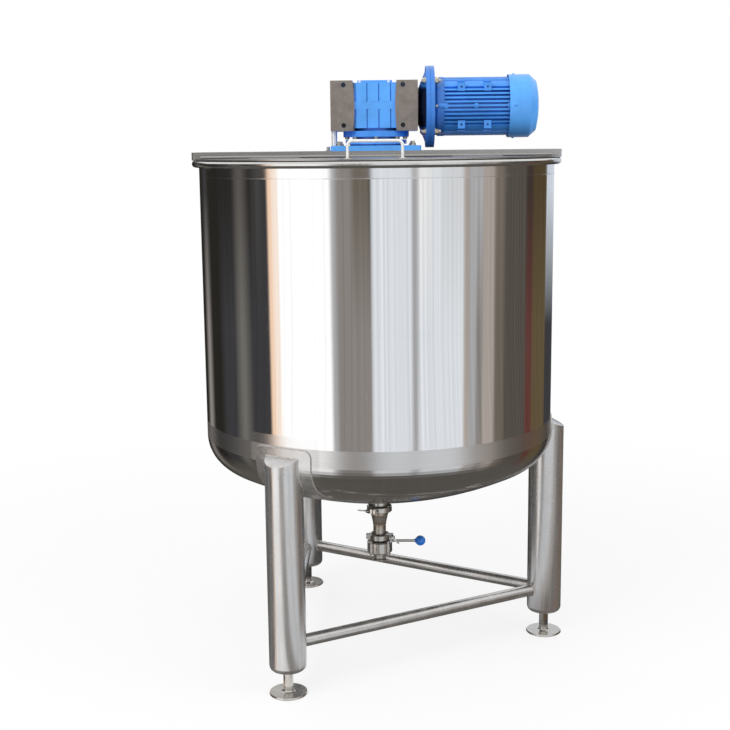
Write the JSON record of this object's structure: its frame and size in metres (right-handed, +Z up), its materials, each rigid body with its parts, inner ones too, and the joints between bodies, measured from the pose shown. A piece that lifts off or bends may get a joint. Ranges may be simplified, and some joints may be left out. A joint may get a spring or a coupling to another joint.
{
  "type": "mixing tank",
  "caption": "Open-top stainless mixing tank on braced legs, with a drive bridge, half lids, a geared motor agitator and a bottom outlet valve with a lever.",
  "frame": {"origin": "on the floor under the axis of the tank", "axes": "+Z up along the tank's axis, +X from the axis towards the motor and the right leg, the front half lid on the -Y side"},
  "size_m": [1.0729, 1.047, 1.6844],
  "materials": {
    "polished_steel": "mirror polished stainless steel",
    "satin_steel": "satin brushed stainless steel",
    "fitting_steel": "cast and turned stainless fittings, slightly heat tinted",
    "blue_paint": "semi-gloss enamel on cast metal",
    "machined_iron": "bare machined pads",
    "zinc": "zinc plated fasteners",
    "knob_plastic": "moulded ball knob"
  },
  "bodies": {
    "tank": {"shell_wall": "polished_steel", "rim_bead": "polished_steel", "bottom_head": "satin_steel", "bridge": "satin_steel", "bridge_clip": "zinc", "front_hinge": "satin_steel", "rear_lid": "satin_steel", "rear_lid_grip": "polished_steel", "rear_hinge": "satin_steel", "leg_right": "satin_steel", "leg_rear": "satin_steel", "leg_front": "satin_steel", "leg_pad_right": "satin_steel", "leg_pad_rear": "satin_steel", "leg_pad_front": "satin_steel", "foot_right": "satin_steel", "foot_rear": "satin_steel", "foot_front": "satin_steel", "brace_right": "satin_steel", "brace_left": "satin_steel", "brace_front": "satin_steel", "outlet_neck": "fitting_steel", "outlet_clamp": "fitting_steel", "outlet_reducer": "fitting_steel", "valve_clamp": "fitting_steel", "valve_body": "fitting_steel", "stand": "blue_paint", "stay_post": "zinc", "output_flange": "blue_paint", "gear_housing": "blue_paint", "gear_cover": "blue_paint", "input_adaptor": "blue_paint", "adaptor_flange": "blue_paint", "motor_shield": "blue_paint", "motor_frame": "blue_paint", "fan_cowl": "blue_paint", "terminal_box": "blue_paint", "agitator_shaft": "satin_steel", "agitator_blades": "satin_steel"},
    "front_half_lid": {"front_lid": "satin_steel", "front_lid_grip": "polished_steel", "front_lid_leaf": "satin_steel"},
    "valve_handle": {"valve_disc": "fitting_steel", "valve_lever": "fitting_steel", "lever_knob": "knob_plastic"}
  },
  "joints": [
    {"name": "front_lid_hinge", "type": "hinge", "parent": "tank", "child": "front_half_lid", "pos_m": [0, -0.1415, 1.436], "axis": [-1, 0, 0], "range_deg": [0, 95]},
    {"name": "valve_turn", "type": "hinge", "parent": "tank", "child": "valve_handle", "pos_m": [0, 0, 0.27354], "axis": [0, 1, 0], "range_deg": [0, 90]}
  ]
}
